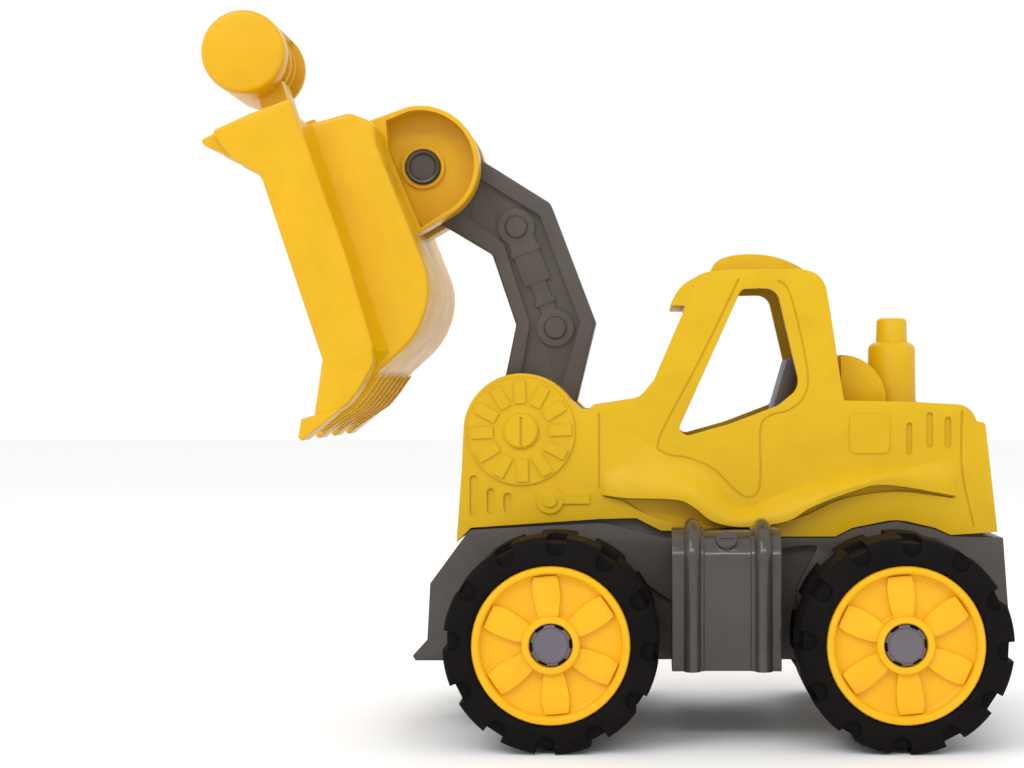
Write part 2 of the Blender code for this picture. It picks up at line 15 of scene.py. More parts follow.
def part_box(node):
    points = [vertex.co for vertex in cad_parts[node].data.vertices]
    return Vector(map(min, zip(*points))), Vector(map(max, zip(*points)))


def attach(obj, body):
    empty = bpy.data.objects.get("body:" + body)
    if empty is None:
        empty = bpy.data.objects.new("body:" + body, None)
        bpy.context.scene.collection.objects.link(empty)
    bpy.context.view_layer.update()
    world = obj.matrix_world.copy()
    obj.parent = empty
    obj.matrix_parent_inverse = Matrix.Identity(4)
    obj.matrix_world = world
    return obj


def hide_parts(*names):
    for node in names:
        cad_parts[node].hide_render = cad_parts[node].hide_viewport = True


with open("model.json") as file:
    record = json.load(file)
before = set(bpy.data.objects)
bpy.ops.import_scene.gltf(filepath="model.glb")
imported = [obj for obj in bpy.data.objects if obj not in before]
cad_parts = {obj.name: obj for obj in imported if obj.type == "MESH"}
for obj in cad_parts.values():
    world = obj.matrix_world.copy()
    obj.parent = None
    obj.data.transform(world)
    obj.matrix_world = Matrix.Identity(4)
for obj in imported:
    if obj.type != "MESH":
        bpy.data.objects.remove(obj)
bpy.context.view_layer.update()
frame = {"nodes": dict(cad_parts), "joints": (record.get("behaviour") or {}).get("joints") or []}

MM = 0.001


# Places read from the frame

def joint_place(name):
    """The (x, z) of a joint, in millimetres."""
    joint = next(joint for joint in frame["joints"] if joint["name"] == name)
    return joint["pos_m"][0] / MM, joint["pos_m"][2] / MM


BOOM_PIVOT = joint_place("boom_lift")
BUCKET_PIVOT = joint_place("bucket_tilt")

# Driving sizes
BODY_HALF = 28.0
CHASSIS_HALF = 27.5
WALL = 2.6
SLOT_HALF = 9.5
CHEEK_RADIUS = 19.8
BOOM_FACE = 7.0
BOOM_BORE = 4.3
BUCKET_BORE = 4.7
BUCKET_HALF = 58.0
BOWL_HALF = 46.0
KNOB_RADIUS = 14.5
TYRE_RADIUS = 35.0
TYRE_INNER = 31.5
TYRE_OUTER = 71.5
RIM_FACE = 70.5
NOTCHES = 12
SPOKES = 6
CAP_SLOTS = 6
RAYS = 12
TEETH = 4


# Outlines as (x, z) points

def arc(centre, radius, start_deg, end_deg, steps):
    """Points along an arc of a circle, both ends included."""
    points = []
    for step in range(steps + 1):
        angle = math.radians(start_deg + (end_deg - start_deg) * step / steps)
        points.append((centre[0] + radius * math.cos(angle), centre[1] + radius * math.sin(angle)))
    return points


def toward(angle_deg):
    """The unit vector at an angle in the side plane."""
    angle = math.radians(angle_deg)
    return Vector((math.cos(angle), math.sin(angle)))


def rounded(corners, steps=8):
    """The outline of (x, z) or (x, z, radius) corners, with an arc at each corner that has a radius."""
    outline = []
    count = len(corners)
    for index, corner in enumerate(corners):
        here = Vector(corner[:2])
        if len(corner) == 2:
            outline.append(tuple(here))
            continue
        back = (Vector(corners[index - 1][:2]) - here).normalized()
        ahead = (Vector(corners[(index + 1) % count][:2]) - here).normalized()
        half = math.acos(max(-1.0, min(1.0, back.dot(ahead)))) / 2
        reach = corner[2] / math.tan(half)
        centre = here + (back + ahead).normalized() * (corner[2] / math.sin(half))
        first = here + back * reach - centre
        last = here + ahead * reach - centre
        start = math.atan2(first.y, first.x)
        turn = (math.atan2(last.y, last.x) - start + math.pi) % (2 * math.pi) - math.pi
        outline += arc(centre, corner[2], math.degrees(start), math.degrees(start + turn), steps)
    return outline


def box_outline(x0, x1, z0, z1):
    return [(x0, z0), (x1, z0), (x1, z1), (x0, z1)]


def smooth_line(points, steps=6):
    """A Catmull-Rom curve through the points."""
    line = []
    padded = [points[0]] + list(points) + [points[-1]]
    for index in range(len(points) - 1):
        a, b, c, d = (Vector(point) for point in padded[index:index + 4])
        for step in range(steps):
            t = step / steps
            square = (2 * a - 5 * b + 4 * c - d) * t * t
            cube = (3 * b - a - 3 * c + d) * t ** 3
            line.append(tuple(0.5 * (2 * b + (c - a) * t + square + cube)))
    return line + [tuple(points[-1])]


# Closed meshes

def closed(mesh):
    """Turns the faces of a closed mesh outwards."""
    bmesh.ops.recalc_face_normals(mesh, faces=mesh.faces)
    return mesh


def loft(near_outline, near_y, far_outline, far_y):
    """A solid between two outlines with as many points, each at its own depth."""
    mesh = bmesh.new()
    near = [mesh.verts.new((x * MM, near_y * MM, z * MM)) for x, z in near_outline]
    far = [mesh.verts.new((x * MM, far_y * MM, z * MM)) for x, z in far_outline]
    mesh.faces.new(near)
    mesh.faces.new(reversed(far))
    for index in range(len(near)):
        after = (index + 1) % len(near)
        mesh.faces.new((near[index], far[index], far[after], near[after]))
    if near_outline != far_outline:
        bmesh.ops.triangulate(mesh, faces=mesh.faces)
    return closed(mesh)


def prism(outline, y0, y1):
    return loft(outline, y0, outline, y1)


def turned(profile, centre, axis="Y", steps=64, ring=False):
    """A (radius, along) profile turned about an axis through centre; a ring's profile is a closed loop."""
    mesh = bmesh.new()
    rows = []
    for radius, along in profile:
        row = []
        for step in range(steps if radius else 1):
            angle = 2 * math.pi * step / steps
            across = centre[0] + radius * math.cos(angle)
            other = centre[1] + radius * math.sin(angle)
            place = (across, along, other) if axis == "Y" else (across, other, along)
            row.append(mesh.verts.new(Vector(place) * MM))
        rows.append(row)
    pairs = list(zip(rows, rows[1:]))
    if ring:
        pairs.append((rows[-1], rows[0]))
    for low, high in pairs:
        for step in range(steps):
            after = (step + 1) % steps
            corners = [low[step % len(low)], low[after % len(low)]]
            corners += [high[after % len(high)], high[step % len(high)]]
            mesh.faces.new(list(dict.fromkeys(corners)))
    return closed(mesh)


def disc(centre, radius, low, high, axis="Y", steps=64):
    return turned([(0, low), (radius, low), (radius, high), (0, high)], centre, axis, steps)


def bar(start, end, half_width, y0, y1, round_ends=True):
    """A straight bar in the side plane, with round or square ends, between two depths."""
    a = Vector(start)
    b = Vector(end)
    heading = math.degrees(math.atan2(b.y - a.y, b.x - a.x))
    if round_ends:
        outline = arc(b, half_width, heading - 90, heading + 90, 10)
        outline += arc(a, half_width, heading + 90, heading + 270, 10)
    else:
        across = Vector((a.y - b.y, b.x - a.x)).normalized() * half_width
        outline = [tuple(a - across), tuple(b - across), tuple(b + across), tuple(a + across)]
    return prism(outline, y0, y1)


def eased(mesh, width, segments=3, angle_deg=30):
    """Rounds the sharp edges of a plain solid, before a Boolean takes it."""
    sharp = [edge for edge in mesh.edges if edge.calc_face_angle(0.0) > math.radians(angle_deg)]
    bmesh.ops.bevel(mesh, geom=sharp, offset=width * MM, segments=segments, profile=0.5, affect="EDGES",
                    clamp_overlap=True)
    return closed(mesh)


def together(meshes):
    """One mesh of solids that don't touch, for a single Boolean."""
    whole = bmesh.new()
    for mesh in meshes:
        carrier = bpy.data.meshes.new("carrier")
        mesh.to_mesh(carrier)
        mesh.free()
        whole.from_mesh(carrier)
        bpy.data.meshes.remove(carrier)
    return whole


# Pieces

def made(name, mesh):
    """A new object in the scene that takes the mesh over."""
    data = bpy.data.meshes.new(name)
    mesh.to_mesh(data)
    mesh.free()
    thing = bpy.data.objects.new(name, data)
    bpy.context.scene.collection.objects.link(thing)
    return thing


def bake(thing):
    """Applies the modifiers and removes their tools."""
    tools = [modifier.object for modifier in thing.modifiers if modifier.type == "BOOLEAN"]
    graph = bpy.context.evaluated_depsgraph_get()
    mesh = bpy.data.meshes.new_from_object(thing.evaluated_get(graph))
    thing.modifiers.clear()
    thing.data = mesh
    for tool in tools:
        bpy.data.objects.remove(tool)


def boolean(thing, mesh, operation):
    tool = made(f"{thing.name}_tool", mesh)
    modifier = thing.modifiers.new(operation.lower(), "BOOLEAN")
    modifier.object = tool
    modifier.operation = operation
    modifier.solver = "EXACT"


def cut(thing, *meshes):
    for mesh in meshes:
        boolean(thing, mesh, "DIFFERENCE")


def join(thing, *meshes):
    for mesh in meshes:
        boolean(thing, mesh, "UNION")


def soften(thing, width, segments=3, angle_deg=32):
    """Merges faces in one plane and rounds every edge sharper than the angle, as a mould does."""
    mesh = bmesh.new()
    mesh.from_mesh(thing.data)
    bmesh.ops.remove_doubles(mesh, verts=mesh.verts, dist=0.00002)
    bmesh.ops.dissolve_limit(mesh, angle_limit=math.radians(0.6), verts=mesh.verts, edges=mesh.edges)
    mesh.to_mesh(thing.data)
    mesh.free()
    modifier = thing.modifiers.new("bevel", "BEVEL")
    modifier.width = width * MM
    modifier.segments = segments
    modifier.limit_method = "ANGLE"
    modifier.angle_limit = math.radians(angle_deg)
    bake(thing)


def finish(thing, material, body, replaces=(), bevel=0.0, segments=3, smooth_deg=38):
    """Bakes a piece, rounds it, gives it its material, and makes it ride on its body."""
    bake(thing)
    if bevel:
        soften(thing, bevel, segments)
    thing.data.materials.clear()
    thing.data.materials.append(material)
    thing.data.shade_smooth()
    thing.data.set_sharp_from_angle(angle=math.radians(smooth_deg))
    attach(thing, body)
    if replaces:
        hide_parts(*replaces)
    return thing


# Materials

def plastic(name, colour, shade, roughness, grain=0.05, gloss=0.5, mottle_scale=45.0, seed=0.0):
    """Moulded plastic: faint flow marks between two colours, a fine grain, and sparse handling scratches."""
    material = bpy.data.materials.new(name)
    material.use_nodes = True
    tree = material.node_tree
    nodes = tree.nodes
    link = tree.links.new
    shader = nodes["Principled BSDF"]
    shader.inputs["Specular IOR Level"].default_value = gloss
    place = nodes.new("ShaderNodeTexCoord")
    shift = nodes.new("ShaderNodeMapping")
    shift.inputs["Location"].default_value = (seed, seed * 0.7, seed * 1.3)
    link(place.outputs["Object"], shift.inputs["Vector"])

    def noise(scale, detail, distortion=0.0):
        node = nodes.new("ShaderNodeTexNoise")
        node.inputs["Scale"].default_value = scale
        node.inputs["Detail"].default_value = detail
        node.inputs["Distortion"].default_value = distortion
        link(shift.outputs["Vector"], node.inputs["Vector"])
        return node.outputs["Fac"]

    def ramp(source, low, high, low_value, high_value):
        node = nodes.new("ShaderNodeMapRange")
        node.inputs["From Min"].default_value = low
        node.inputs["From Max"].default_value = high
        node.inputs["To Min"].default_value = low_value
        node.inputs["To Max"].default_value = high_value
        link(source, node.inputs["Value"])
        return node.outputs["Result"]

    def combine(operation, first, second):
        node = nodes.new("ShaderNodeMath")
        node.operation = operation
        link(first, node.inputs[0])
        link(second, node.inputs[1])
        return node.outputs["Value"]

    flow = noise(mottle_scale, 3.0, 1.2)
    mix = nodes.new("ShaderNodeMix")
    mix.data_type = "RGBA"
    mix.inputs["A"].default_value = (*shade, 1.0)
    mix.inputs["B"].default_value = (*colour, 1.0)
    link(ramp(flow, 0.30, 0.58, 0.0, 1.0), mix.inputs["Factor"])
    link(mix.outputs["Result"], shader.inputs["Base Color"])

    stretched = nodes.new("ShaderNodeMapping")
    stretched.inputs["Scale"].default_value = (1.0, 1.0, 14.0)
    stretched.inputs["Rotation"].default_value = (0.3, 0.9, 0.2)
    link(place.outputs["Object"], stretched.inputs["Vector"])
    scratch = nodes.new("ShaderNodeTexNoise")
    scratch.inputs["Scale"].default_value = 55.0
    scratch.inputs["Detail"].default_value = 4.0
    link(stretched.outputs["Vector"], scratch.inputs["Vector"])
    worn = ramp(scratch.outputs["Fac"], 0.62, 0.72, 0.0, 0.07)
    patchy = ramp(noise(90.0, 4.0), 0.3, 0.7, roughness - 0.05, roughness + 0.06)
    link(combine("ADD", patchy, worn), shader.inputs["Roughness"])

    bump = nodes.new("ShaderNodeBump")
    bump.inputs["Strength"].default_value = grain
    bump.inputs["Distance"].default_value = 0.0002
    link(noise(2600.0, 2.0), bump.inputs["Height"])
    ripple = nodes.new("ShaderNodeBump")
    ripple.inputs["Strength"].default_value = grain * 1.6
    ripple.inputs["Distance"].default_value = 0.0006
    link(flow, ripple.inputs["Height"])
    link(bump.outputs["Normal"], ripple.inputs["Normal"])
    link(ripple.outputs["Normal"], shader.inputs["Normal"])
    return material


def metal(name, colour, roughness):
    shade = tuple(0.8 * part for part in colour)
    material = plastic(name, colour, shade, roughness, grain=0.08, mottle_scale=160.0)
    material.node_tree.nodes["Principled BSDF"].inputs["Metallic"].default_value = 1.0
    return material


YELLOW = plastic("body_yellow", (0.655, 0.402, 0.003), (0.62, 0.375, 0.002), 0.42, gloss=0.25, seed=1.0)
BUCKET_YELLOW = plastic("bucket_yellow", (0.69, 0.385, 0.002), (0.655, 0.36, 0.001), 0.32,
                        gloss=0.30, seed=2.0)
RIM_YELLOW = plastic("rim_yellow", (0.84, 0.445, 0.005), (0.80, 0.41, 0.004), 0.34, gloss=0.28, seed=3.0)
GREY = plastic("grey_plastic", (0.080, 0.068, 0.058), (0.068, 0.057, 0.049), 0.44,
               grain=0.10, gloss=0.30, seed=4.0)
PIN_GREY = plastic("pin_grey", (0.060, 0.050, 0.043), (0.050, 0.042, 0.036), 0.22,
                   grain=0.04, gloss=0.5, seed=9.0)
STEP_GREY = plastic("step_grey", (0.060, 0.052, 0.046), (0.052, 0.045, 0.040), 0.14,
                    grain=0.02, gloss=0.45, seed=5.0)
TYRE_BLACK = plastic("tyre_black", (0.007, 0.0055, 0.0055), (0.005, 0.004, 0.004), 0.60,
                     grain=0.16, gloss=0.06, seed=6.0)
CAP_GREY = plastic("cap_grey", (0.130, 0.110, 0.132), (0.11, 0.095, 0.115), 0.30,
                   grain=0.03, gloss=0.4, seed=7.0)
# Near-black colour of the ring under each hub cap: painted shade for the slots, not a part of its own.
CAP_SLOT_SHADE = plastic("cap_slot_painted_shade", (0.012, 0.010, 0.010), (0.008, 0.007, 0.007), 0.6, gloss=0.2, seed=8.0)
STEEL = metal("steel", (0.56, 0.56, 0.58), 0.32)


# Body shell

def cheek_outline(radius, left, bottom):
    """The round cheek at the boom's pivot, from a point low on its front."""
    return [(left, bottom), (BOOM_PIVOT[0] - radius, BOOM_PIVOT[1])] + arc(BOOM_PIVOT, radius, 175, 35, 36)


def body_outline():
    nose = [(-50.0, 65.0), (-49.5, 71.5)] + cheek_outline(CHEEK_RADIUS, -48.2, 89.5)
    hood = [(-7.5, 110.5, 1.0), (-4.5, 110.5, 1.0), (-3.5, 112.0, 0.6), (6.0, 113.5)]
    scuttle = [(12.5, 114.5, 7), (17.5, 120.5, 4)]
    visor = [(28.5, 146.0, 0.5), (23.0, 146.0, 0.5), (26.2, 152.5, 12), (34.5, 157.4, 14), (42.0, 158.3)]
    roof = [(67.5, 158.5), (75.5, 157.0, 8), (77.5, 146.0)]
    deck = [(82.5, 113.5, 1), (107.5, 113.0), (125.5, 112.0, 7)]
    rear = [(128.0, 106.4, 1), (130.8, 106.0, 1.5), (135.0, 68.6)]
    rear_arch = [(119.0, 67.5), (113.5, 70.0), (100.5, 73.0, 20), (85.5, 70.0), (79.5, 67.0), (60.5, 67.0)]
    middle = [(52.0, 70.5), (24.5, 69.0), (20.0, 69.0), (11.5, 73.3), (-1.0, 73.0), (-45.0, 70.0)]
    return rounded(nose + hood + scuttle + visor + roof + deck + rear + rear_arch + middle)


def hollow_outline():
    """The body's hollow, a wall's thickness inside it and open below."""
    nose = [(-47.2, 60.0), (-46.9, 71.5)] + cheek_outline(CHEEK_RADIUS - WALL, -45.6, 89.5)
    hood = [(-8.0, 107.5), (-3.0, 108.5), (6.5, 110.7), (14.5, 112.0, 6), (20.5, 120.0)]
    cab = [(33.0, 150.0, 3), (40.0, 155.5), (67.0, 155.5), (73.5, 153.5, 3), (74.8, 146.0)]
    rear = [(80.2, 110.9), (107.5, 110.4), (123.0, 109.2, 4), (126.0, 103.6), (128.6, 103.4), (132.2, 60.0)]
    return rounded(nose + hood + cab + rear)


def window_outline():
    corners = [(47.5, 151.8, 3), (59.5, 152.0, 5), (65.0, 128.5, 30), (67.5, 118.0, 6), (60.0, 111.8, 6)]
    return rounded(corners + [(43.5, 105.5, 30), (28.5, 101.3, 2.4), (26.0, 104.0, 1.6)])


# One flare runs over both wheels and the step between them: its upper line, and the edge of its lip.
FLARE_RIDGE = [(0.0, 89.5), (10.0, 91.8), (22.0, 92.6), (31.0, 90.4), (37.5, 86.5), (42.5, 81.0),
               (46.0, 77.8), (50.0, 77.4), (54.5, 79.0), (63.0, 82.5), (80.0, 88.0), (96.5, 91.0),
               (110.0, 91.3), (120.5, 91.0)]
FLARE_LIP = [(-0.5, 81.0), (8.5, 80.0), (25.0, 79.5), (31.0, 77.0), (36.0, 73.0), (40.0, 71.3),
             (45.0, 70.4), (52.0, 70.4), (58.5, 71.3), (64.5, 73.0), (71.0, 77.0), (84.0, 82.0),
             (96.5, 84.5), (121.0, 80.5)]
# The side is sunk between each wheel's part of the lip and the lower line of its shade.
FRONT_LIP = FLARE_LIP[:6]
REAR_LIP = FLARE_LIP[8:]
FRONT_SHADE = [(0.9, 80.6), (7.0, 79.0), (13.0, 75.5), (20.0, 73.0), (28.0, 71.5), (36.0, 71.0)]
REAR_SHADE = [(58.8, 70.8), (69.3, 74.2), (82.7, 80.0), (101.0, 82.4), (119.0, 80.2)]


def skin(mesh, rings):
    """Faces between each ring of corners and the next."""
    for first, second in zip(rings, rings[1:]):
        for index in range(len(first)):
            after = (index + 1) % len(first)
            mesh.faces.new((first[index], first[after], second[after], second[index]))


def flare(side):
    """The flare swells out of the side, from its ridge down to a thin lip, and fades at its ends."""
    reach, lip_height, lip_thickness, root_depth = 6.0, 1.6, 1.2, 1.5
    fade, least = 0.24, 0.02
    top = smooth_line(FLARE_RIDGE)
    low = smooth_line(FLARE_LIP)
    count = len(top)
    mesh = bmesh.new()
    rings = []
    profile = [(0.0, -root_depth), (0.0, 0.0), (0.30, 0.42), (0.62, 0.80), (0.90, 1.0)]
    for index in range(count):
        nearest_end = min(index, count - 1 - index) / (count - 1)
        swell = math.sin(math.pi / 2 * min(1.0, nearest_end / fade)) ** 0.7
        out = reach * max(least, swell)
        ring = []
        for down, rise in profile:
            x = top[index][0] + (low[index][0] - top[index][0]) * down
            z = top[index][1] + (low[index][1] + lip_height - top[index][1]) * down
            ring.append((x, BODY_HALF + (out * rise if rise > 0 else rise), z))
        ring.append((low[index][0], BODY_HALF + out, low[index][1] + 0.4))
        ring.append((low[index][0], BODY_HALF + out - lip_thickness, low[index][1]))
        ring.append((low[index][0], BODY_HALF - root_depth, low[index][1]))
        rings.append([mesh.verts.new((x * MM, side * y * MM, z * MM)) for x, y, z in ring])
    skin(mesh, rings)
    mesh.faces.new(rings[0])
    mesh.faces.new(rings[-1])
    bmesh.ops.triangulate(mesh, faces=mesh.faces)
    return closed(mesh)


def lip_shade(side, lip, low):
    """The shallow crescent sunk into the side under a flare's lip."""
    depth, clear = 2.2, 8
    outline = smooth_line(lip) + smooth_line(low)[::-1]
    return prism(outline, side * (BODY_HALF - depth), side * (BODY_HALF + clear))


def grooves(side, depth, slots):
    """Upright round-ended grooves as (x, low z, high z, width)."""
    floor, clear = side * (BODY_HALF - depth), side * (BODY_HALF + 5)
    runs = []
    for x, low, high, width in slots:
        half = width / 2
        runs.append(bar((x, low + half), (x, high - half), half, floor, clear))
    return together(runs)


def seam(side, points, width=0.7, depth=0.45):
    """A narrow engraved line along a smooth path on the side."""
    line = smooth_line(points, 5)
    half = width / 2
    left, right = [], []
    for index, point in enumerate(line):
        before = Vector(line[max(0, index - 1)])
        after = Vector(line[min(len(line) - 1, index + 1)])
        across = (after - before).normalized()
        across = Vector((-across.y, across.x)) * half
        left.append(tuple(Vector(point) + across))
        right.append(tuple(Vector(point) - across))
    return prism(left + right[::-1], side * (BODY_HALF - depth), side * (BODY_HALF + 3))


DOOR_SEAM = [(46.5, 155.0), (33.5, 128.0), (19.5, 101.0), (21.5, 95.5), (29.5, 93.8), (38.0, 90.0),
             (45.0, 83.0), (49.5, 80.4), (53.2, 82.5), (54.0, 90.0), (54.0, 104.0), (57.0, 108.3),
             (63.5, 110.2), (68.6, 114.5), (70.2, 121.5), (67.5, 137.0), (63.6, 151.0), (60.0, 154.6)]
REAR_SEAM = [(122.8, 110.0), (122.8, 90.0), (126.8, 70.5)]
CHEEK_SEAM = [(-1.2, 109.0), (-1.2, 100.0), (-1.2, 83.5)]
FRONT_VENTS = [(-44.0, 73.8, 88.0, 3.0), (-38.2, 74.6, 83.6, 2.8), (-32.5, 75.2, 82.0, 2.8)]
REAR_VENTS = [(104.8, 95.0, 106.0, 2.0), (111.8, 97.4, 109.6, 2.2), (118.0, 97.4, 108.0, 2.2)]


def sunburst(side):
    """The raised disc round the boom's pivot, with a bar for each ray."""
    base = side * (BODY_HALF - 1)
    plate, ray = side * (BODY_HALF + 0.8), side * (BODY_HALF + 1.5)
    hub = Vector(BOOM_PIVOT)
    parts = [disc(BOOM_PIVOT, 18.3, base, plate, steps=96)]
    for index in range(RAYS):
        outward = toward(360 / RAYS * index + 2)
        parts.append(bar(hub + outward * 9.6, hub + outward * 17.2, 1.9, base, ray, False))
    return parts


def handle(side):
    """The raised mark below the sunburst: a stepped disc with a bar to the rear."""
    base = side * (BODY_HALF - 1)
    centre = (-18.0, 79.5)
    return [disc(centre, 4.5, base, side * (BODY_HALF + 1.0)),
            bar((-16.0, 80.0), (-4.5, 80.0), 1.7, base, side * (BODY_HALF + 0.8), False),
            disc(centre, 2.3, base, side * (BODY_HALF + 1.7))]


def badge(side):
    """A plain rounded square on the hood's side."""
    outline = rounded([(84.5, 95.5, 2), (98.0, 95.5, 2), (98.0, 109.0, 2), (84.5, 109.0, 2)])
    return prism(outline, side * (BODY_HALF - 1), side * (BODY_HALF + 0.5))


def build_body():
    body = made("body_skin", prism(body_outline(), -BODY_HALF, BODY_HALF))
    inside = BODY_HALF - WALL
    cut(body, prism(hollow_outline(), -inside, inside))
    bay = cheek_outline(19.2, -47.8, 89.5)[::-1] + [(-48.2, 78.0), (4.1, 78.0), (4.1, 111.0), (-8.0, 109.5)]
    join(body, prism(bay, -(SLOT_HALF + WALL), SLOT_HALF + WALL))
    cut(body, prism(box_outline(-60.0, 1.5, 80.5, 130.0), -SLOT_HALF, SLOT_HALF))
    cut(body, prism(window_outline(), -40, 40))
    windscreen = [(12.0, 121.5), (35.0, 121.5), (42.0, 145.0), (20.0, 145.0)]
    cut(body, prism(windscreen, -21, 21))
    bump = smooth_line([(37.0, 156.5), (38.4, 160.8), (43.0, 163.3), (51.0, 164.2), (59.5, 163.2),
                        (67.0, 160.3), (72.5, 156.5)])
    join(body, prism(bump, -19, 19))
    bake(body)
    soften(body, 1.1, 4)
    for side in (-1, 1):
        cut(body, lip_shade(side, FRONT_LIP, FRONT_SHADE), lip_shade(side, REAR_LIP, REAR_SHADE))
        join(body, flare(side))
        cut(body, grooves(side, 0.9, FRONT_VENTS + REAR_VENTS))
        cut(body, seam(side, DOOR_SEAM), seam(side, REAR_SEAM), seam(side, CHEEK_SEAM))
        join(body, *sunburst(side), *handle(side), badge(side))
    cut(body, disc(BOOM_PIVOT, BOOM_BORE, -40, 40))
    finish(body, YELLOW, "root", ["body_shell"], smooth_deg=40)


def build_boom_pin():
    """The boom's pin, with its slotted heads."""
    profile = [(0, -30.2), (5.2, -30.2), (5.9, -29.6), (5.9, -28.9), (4.0, -28.9), (4.0, 28.9), (5.9, 28.9)]
    pin = made("boom_pin", turned(profile + [(5.9, 29.6), (5.2, 30.2), (0, 30.2)], BOOM_PIVOT))
    x, z = BOOM_PIVOT
    for side in (-1, 1):
        cut(pin, prism(box_outline(x - 0.45, x + 0.45, z - 4.9, z + 4.9), side * 29.6, side * 32))
    finish(pin, YELLOW, "root", ["boom_pivot_pin"])


# Rear deck

def build_rear_deck():
    profile = [(0, 112.6), (8.7, 112.6), (8.5, 114.4), (8.3, 131.6), (7.9, 132.8), (6.9, 133.6), (5.6, 134.2)]
    profile += [(5.5, 134.6), (5.3, 141.4), (4.9, 142.2), (4.2, 142.6)]
    profile += [(3.4, 142.6), (3.2, 139.0), (0, 139.0)]
    foot = (102.1, 0.0)
    exhaust = made("exhaust", turned(profile, foot, "Z", 72))
    finish(exhaust, YELLOW, "root", ["exhaust_stack"])
    middle = (82.7, 113.6)
    quarter = [(83.0, 112.8), (98.4, 112.8)] + arc(middle, 15.8, 3, 90, 28)
    drum = made("filter_drum", prism(quarter, -14.0, 14.0))
    ring = arc(middle, 16.6, 20, 90, 20) + arc(middle, 15.2, 90, 20, 20)
    for y in (-9.0, 0.0, 9.0):
        cut(drum, prism(ring, y - 0.4, y + 0.4))
    cut(drum, disc(foot, 9.0, 110.0, 135.0, axis="Z"))
    finish(drum, YELLOW, "root", ["air_filter_drum"], bevel=0.5)


# Chassis

def copy_of(node, name):
    """A new mesh with the CAD node's shape, to be rounded."""
    mesh = bmesh.new()
    mesh.from_mesh(frame["nodes"][node].data)
    bmesh.ops.remove_doubles(mesh, verts=mesh.verts, dist=0.00001)
    return made(name, mesh)


def chassis_rim():
    """The wall that fills the side up to the body's lower edge."""
    nose = [(-47.6, 66.5), (-45.5, 69.3), (-1.2, 71.6), (2.0, 71.3), (23.6, 66.0), (52.0, 66.0)]
    arch = [(60.5, 66.6), (79.5, 66.6), (85.5, 69.6), (100.5, 72.3), (113.5, 69.5), (119.0, 67.1)]
    return nose + arch + [(136.8, 66.6), (136.8, 60.0), (-47.6, 60.0)]


def build_chassis():
    chassis = copy_of("chassis_frame", "chassis")
    join(chassis, prism(chassis_rim(), -CHASSIS_HALF, CHASSIS_HALF))
    cut(chassis, prism(box_outline(-41.0, 127.5, 28.0, 90.0), -22.0, 22.0))
    front_recess = [(4.0, 58.4), (26.0, 43.3), (26.0, 20.0), (-8.0, 20.0)]
    rear_recess = rounded([(56.0, 20.0), (56.0, 62.0), (68.5, 64.0, 1), (74.0, 64.0, 1),
                           (66.5, 50.0, 3), (66.0, 20.0)])
    for side in (-1, 1):
        for recess in (front_recess, rear_recess):
            cut(chassis, prism(recess, side * 24.6, side * 30))
    finish(chassis, GREY, "root", ["chassis_frame"], bevel=0.8)
    for index in range(1, 5):
        node = f"chassis_screw_{index}"
        low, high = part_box(node)
        x, y = (low.x + high.x) / 2 / MM, (low.y + high.y) / 2 / MM
        profile = [(0, 25.2), (2.2, 25.2), (2.9, 25.6), (2.9, 26.2), (1.5, 26.3), (1.5, 34.0), (0, 34.0)]
        screw = made(f"belly_screw_{index}", turned(profile, (x, y), "Z", 32))
        cut(screw, prism(box_outline(x - 0.3, x + 0.3, 24.0, 25.8), y - 1.7, y + 1.7))
        cut(screw, prism(box_outline(x - 1.7, x + 1.7, 24.0, 25.8), y - 0.3, y + 0.3))
        finish(screw, STEEL, "root", [node])


def build_seat():
    """The pan and the back in one, on a post that stands in the chassis, with three grooves in the pan."""
    side = rounded([(29.0, 96.0, 1), (57.5, 96.0), (60.5, 98.0), (68.0, 126.5), (66.5, 129.0, 1),
                    (64.0, 127.5), (56.5, 101.5, 2), (52.5, 100.5), (31.0, 100.5, 1), (29.0, 99.0)])
    seat = made("seat", prism(side, -15.0, 15.0))
    join(seat, prism(box_outline(36.0, 52.0, 28.5, 97.0), -8.0, 8.0))
    for y in (-7.5, 0.0, 7.5):
        cut(seat, prism(box_outline(33.0, 50.0, 100.0, 102.0), y - 0.5, y + 0.5))
    finish(seat, GREY, "root", ["driver_seat"], bevel=0.9)


def build_axles():
    for name in ("front_axle", "rear_axle"):
        low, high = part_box(name)
        centre = ((low.x + high.x) / 2 / MM, (low.z + high.z) / 2 / MM)
        profile = [(0, -64.0), (2.1, -64.0), (2.5, -63.6), (2.5, 63.6), (2.1, 64.0), (0, 64.0)]
        finish(made(f"{name}_rod", turned(profile, centre, steps=32)), STEEL, "root", [name])


def step_section(out, top):
    """The (y, z) section of a side block: upright, then rolled in over the chassis."""
    shoulder, inner, bottom = 41.0, 27.8, 24.4
    radius = out - shoulder
    roll = [(shoulder + radius * math.cos(angle), top - radius + radius * math.sin(angle))
            for angle in (math.pi / 2 * step / 14 for step in range(15))]
    return [(inner, bottom), (out, bottom)] + roll + [(36.2, top), (36.2, 66.5), (inner, 66.5)]


def beam(section, side, x0, x1):
    """A (y, z) section drawn out along X."""
    mesh = bmesh.new()
    ends = [[mesh.verts.new((x * MM, side * y * MM, z * MM)) for y, z in section] for x in (x0, x1)]
    mesh.faces.new(ends[0])
    mesh.faces.new(reversed(ends[1]))
    for index in range(len(section)):
        after = (index + 1) % len(section)
        mesh.faces.new((ends[0][index], ends[1][index], ends[1][after], ends[0][after]))
    return closed(mesh)


